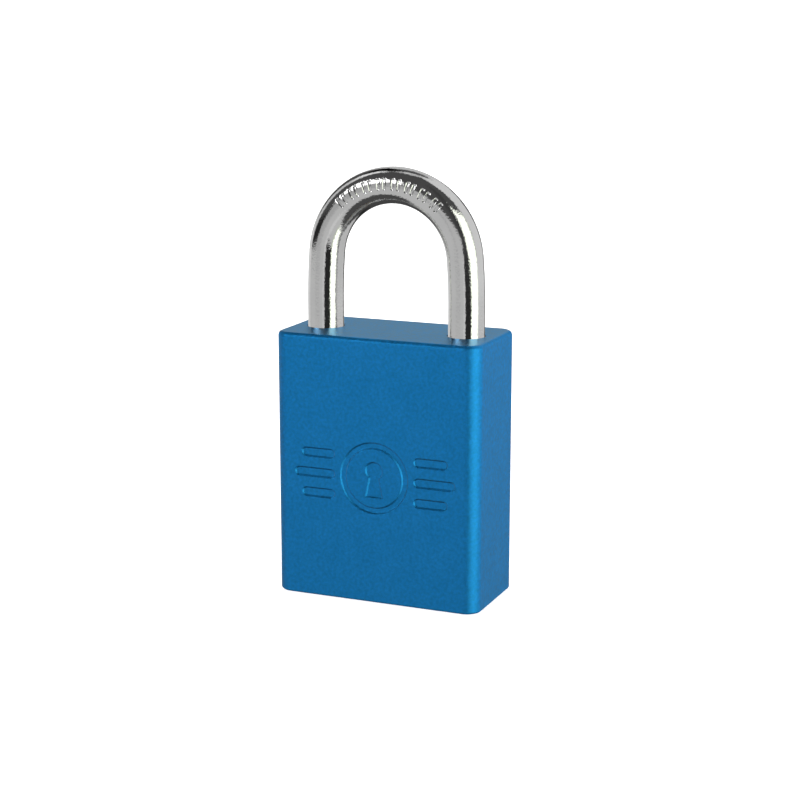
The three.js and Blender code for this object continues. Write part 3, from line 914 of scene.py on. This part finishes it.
def make_clip():
    low, high = size_of("plug_clip")
    half_gap = 0.75  # radians
    outer, inner = 7.0, 5.55
    turn = np.linspace(math.pi + half_gap, 3 * math.pi - half_gap, 80)
    outline = [(outer * math.cos(a), outer * math.sin(a)) for a in turn]
    outline += [(inner * math.cos(a), inner * math.sin(a)) for a in turn[::-1]]
    clip = prism("plug_retaining_clip", outline, low[2], high[2])
    soften(clip, 0.12)
    return stand_for(clip, "plug_clip", "plug", SPRING_STEEL)


def make_cover():
    low, high = size_of("spring_cover")
    cover = box_prism("chamber_cover", low[0], high[0], low[1], high[1], low[2], high[2])
    soften(cover, 0.15)
    return stand_for(cover, "spring_cover", "case", PIN_BRASS)


def make_pins(index):
    number = index + 1
    z = pin_height(index)
    low, high = size_of(f"bottom_pin_{number}")
    radius = high[1]
    profile = rounded(
        [(0.35, low[0]), (radius, low[0] + 0.9), (radius, high[0] - 0.15), (1.0, high[0])], 0.3
    )
    pin = turned(f"key_pin_{number}", profile, 48, along_x=z)
    name = f"bottom_pin_{number}"
    stand_for(pin, name, name, NICKEL_SILVER)

    low, high = size_of(f"driver_pin_{number}")
    waist = radius - 0.3
    profile = rounded(
        [
            (radius - 0.2, low[0]),
            (radius, low[0]),
            (radius, low[0] + 0.8),
            (waist, low[0] + 0.95),
            (waist, high[0] - 1.15),
            (radius, high[0] - 1.0),
            (radius, high[0]),
            (radius - 0.2, high[0]),
        ],
        0.1,
        3,
    )
    driver = turned(f"spool_pin_{number}", profile, 48, along_x=z)
    name = f"driver_pin_{number}"
    stand_for(driver, name, name, PIN_BRASS)

    low, high = size_of(f"pin_spring_{number}")
    wire = 0.17
    coil_radius = 1.0
    path = coil_path(coil_radius, low[0] + wire, high[0] - wire, 6, 0.75, 24)
    spring = sweep(f"small_spring_{number}", path, wire, 10)
    spring.data.transform(Matrix.Rotation(math.pi / 2, 4, "Y"))
    spring.data.transform(Matrix.Translation((0, 0, z * MM)))
    stand_for(spring, f"pin_spring_{number}", "case", SPRING_STEEL)


# ------------------------------------------------------------------ assembly

make_body()
make_shackle()
make_ball("toe_locking_ball", "toe_ball", BALL_CENTRE)
make_ball("heel_locking_ball", "heel_ball", -BALL_CENTRE)
make_actuator()
make_shackle_spring()
make_screw()
make_shell()
make_plug()
make_clip()
make_cover()
for pin in range(PIN_COUNT):
    make_pins(pin)

# ------------------------------------------------------------------ studio

FLOOR_GLOW = 0.6
FLOOR_EDGE = [(200, 0), (3000, 0), (3000, 2600)]  # radius and height, in millimetres
FLOOR_BEND = 900
FLOOR_DROP = 0.02  # keeps the floor just clear of the case
RIGHT_SOFTBOX = ((42, 97), (-44, 41), 3)  # azimuths, heights and softness, in degrees
RIGHT_SOFTBOX_TINT = (0.97, 1.02, 0.88)
STUDIO_BASE = 0.07  # brightness where no panel is
CAMERA_AZIMUTH = math.radians(22.95)
CAMERA_HEIGHT = math.radians(12.6)
CAMERA_DISTANCE = 0.332  # metres
CAMERA_TARGET = Vector((0.0009, 0, 0.03456))
CAMERA_LENS = 85


def make_floor():
    """Pale floor that rises into a wall all round. Reflections leave it out, so that the metal
    mirrors the studio instead."""
    profile = rounded(FLOOR_EDGE, FLOOR_BEND, 12)
    rings = [at_height(circle(r, 96), h - FLOOR_DROP) for r, h in profile]
    floor = loft("studio_floor", rings, open_top=True)
    nodes = Nodes("pale_floor")
    shader = nodes.shader
    pale = nodes.blend(nodes.noise(3, 2.0), (0.93, 0.93, 0.93), (0.95, 0.95, 0.95))
    nodes.link(pale, shader.inputs["Base Color"])
    shader.inputs["Roughness"].default_value = 0.9
    shader.inputs["Specular IOR Level"].default_value = 0.1
    shader.inputs["Emission Color"].default_value = (1, 1, 1, 1)
    shader.inputs["Emission Strength"].default_value = FLOOR_GLOW
    shade(floor)
    floor.data.materials.append(nodes.material)
    floor.visible_glossy = False


class StudioNodes:
    """World shader of a light tent: pale walls, dark and bright upright panels, dark top."""

    def __init__(self):
        world = bpy.data.worlds.new("studio")
        scene.world = world
        world.use_nodes = True
        self.tree = world.node_tree
        self.background = self.tree.nodes["Background"]
        direction = self.tree.nodes.new("ShaderNodeTexCoord").outputs["Generated"]
        split = self.tree.nodes.new("ShaderNodeSeparateXYZ")
        self.tree.links.new(direction, split.inputs["Vector"])
        x, y, z = split.outputs
        self.azimuth = self.math("DEGREES", self.math("ARCTAN2", x, self.math("MULTIPLY", y, -1)))
        self.height = self.math("DEGREES", self.math("ARCSINE", z))

    def math(self, operation, first, second=None):
        node = self.tree.nodes.new("ShaderNodeMath")
        node.operation = operation
        for socket, value in zip(node.inputs, (first, second)):
            if value is None:
                continue
            if isinstance(value, (int, float)):
                socket.default_value = value
            else:
                self.tree.links.new(value, socket)
        return node.outputs["Value"]

    def step(self, value, start, end):
        """0 below start, 1 above end, smooth between. start may be above end."""
        node = self.tree.nodes.new("ShaderNodeMapRange")
        node.interpolation_type = "SMOOTHSTEP"
        node.inputs["From Min"].default_value = start
        node.inputs["From Max"].default_value = end
        self.tree.links.new(value, node.inputs["Value"])
        return node.outputs["Result"]

    def panel(self, azimuths, heights, soft):
        """1 inside a range of azimuth and height, in degrees, and 0 outside it."""
        inside = self.step(self.azimuth, azimuths[0] - soft, azimuths[0] + soft)
        for value, start, end in (
            (self.azimuth, azimuths[1] + soft, azimuths[1] - soft),
            (self.height, heights[0] - soft, heights[0] + soft),
            (self.height, heights[1] + soft, heights[1] - soft),
        ):
            inside = self.math("MULTIPLY", inside, self.step(value, start, end))
        return inside

    def paint(self, level, mask, value):
        """level where mask is 0, value where it is 1."""
        keep = self.math("MULTIPLY", level, self.math("SUBTRACT", 1.0, mask))
        return self.math("ADD", keep, self.math("MULTIPLY", mask, value))


# Brightness round the padlock: azimuths, heights and softness of the edge in degrees, then the
# brightness. Later panels cover earlier ones.
STUDIO_PANELS = (
    # pale floor, darker at the padlock's foot and to the left rear
    ((-400, 400), (-50, -4), 2.5, 0.52),
    ((-50, 20), (-8, 9), 4, 0.50),
    ((-400, 400), (-120, -54), 6, 0.07),
    ((-400, -112), (-120, -22), 6, 0.06),
    ((-112, -86), (-62, -14), 6, 0.18),
    # left rear
    ((-92, -52), (-2, 10), 3, 0.02),
    ((-113, -92), (6, 62), 4, 0.58),
    ((-112, -94), (40, 62), 4, 0.85),
    ((-150, -96), (-12, 6), 4, 0.68),
    ((-400, -143), (8, 50), 6, 0.56),
    ((-146, -120), (38, 64), 3, 0.0),
    ((-400, -144), (53, 69), 4, 0.08),
    ((-400, -96), (71, 83), 4, 0.60),
    # left softbox and its glow
    ((-50, -18), (-8, 36), 5, 0.40),
    ((-57, -22), (18, 34), 3, 2.6),
    # bright edge of the floor, and the dark gap before the right softbox
    ((3, 16), (-38, -7), 3, 0.62),
    ((14, 51), (-19, 2), 2, 0.02),
    ((19, 44), (-5, 66), 5, 0.05),
    # right softbox and its shaded foot
    ((42, 94), (-3, 41), 3.5, 1.45),
    ((51, 97), (-44, 0), 2.5, 1.45),
    ((83, 120), (-62, -26), 4, 0.10),
    # right wall, and the darkness behind
    ((97, 400), (-10, 79), 3, 0.66),
    ((100, 400), (-44, -12), 3, 0.54),
    ((168, 400), (-60, 20), 3, 0.02),
    ((172, 400), (53, 67), 4, 0.12),
    ((-400, -173), (-60, 20), 3, 0.02),
)


def make_studio():
    studio = StudioNodes()
    level = STUDIO_BASE
    for azimuths, heights, soft, brightness in STUDIO_PANELS:
        mask = studio.panel(azimuths, heights, soft)
        level = studio.paint(level, mask, brightness)
    studio.tree.links.new(level, studio.background.inputs["Strength"])
    # the right softbox is a touch warmer than the rest
    mask = studio.panel(*RIGHT_SOFTBOX)
    colour = studio.tree.nodes.new("ShaderNodeCombineColor")
    for socket, share in zip(colour.inputs, RIGHT_SOFTBOX_TINT):
        studio.tree.links.new(studio.paint(1.0, mask, share), socket)
    studio.tree.links.new(colour.outputs["Color"], studio.background.inputs["Color"])


def add_sun(name, direction, spread, strength):
    """Soft light from the direction, for the floor alone: the metal mirrors the studio."""
    data = bpy.data.lights.new(name, "SUN")
    data.angle = math.radians(spread)
    data.energy = strength
    light = bpy.data.objects.new(name, data)
    light.rotation_euler = (-Vector(direction)).to_track_quat("-Z", "Y").to_euler()
    light.visible_glossy = False
    scene.collection.objects.link(light)


def make_camera():
    """Camera at the photograph's viewing angle."""
    back = Vector((
        math.sin(CAMERA_AZIMUTH) * math.cos(CAMERA_HEIGHT),
        -math.cos(CAMERA_AZIMUTH) * math.cos(CAMERA_HEIGHT),
        math.sin(CAMERA_HEIGHT),
    ))
    data = bpy.data.cameras.new("camera")
    data.sensor_width = 36
    data.lens = CAMERA_LENS
    data.clip_start = 0.01
    data.clip_end = 20
    camera = bpy.data.objects.new("camera", data)
    camera.location = CAMERA_TARGET + back * CAMERA_DISTANCE
    camera.rotation_euler = (-back).to_track_quat("-Z", "Y").to_euler()
    scene.collection.objects.link(camera)
    scene.camera = camera


scene.view_settings.view_transform = "Standard"
make_floor()
make_studio()
add_sun("soft_top_light", direction=(-0.3, -0.4, 1), spread=120, strength=0.6)
make_camera()
